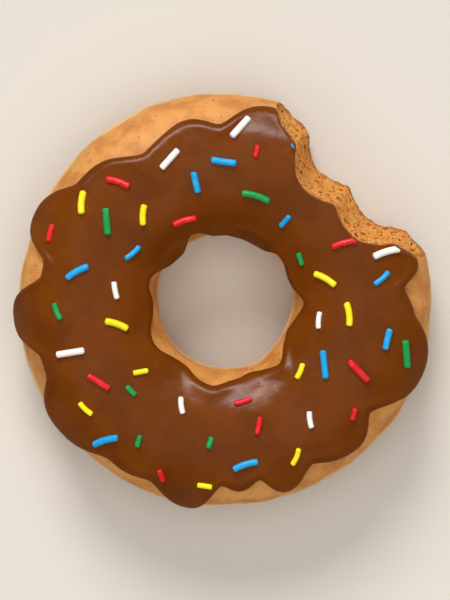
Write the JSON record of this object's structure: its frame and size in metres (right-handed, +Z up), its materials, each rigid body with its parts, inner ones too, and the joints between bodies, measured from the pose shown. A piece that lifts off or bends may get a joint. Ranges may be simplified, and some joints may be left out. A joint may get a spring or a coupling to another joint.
{
  "type": "iced ring doughnut",
  "caption": "Ring doughnut lying flat, with a layer of chocolate icing that has run over its rim in lobes, sugar sprinkles, and a scalloped bite taken out of the rim.",
  "frame": {"origin": "on the table, under the middle of the doughnut's outline", "axes": "+Z up, out of the iced face; the bite is in the quarter between +X and +Y"},
  "size_m": [0.0898, 0.089, 0.0292],
  "materials": {
    "dough": "fried, soft and slightly greasy",
    "icing": "set chocolate icing, glossy"
  },
  "bodies": {
    "root": {"dough": "dough", "icing": "icing"}
  },
  "joints": []
}
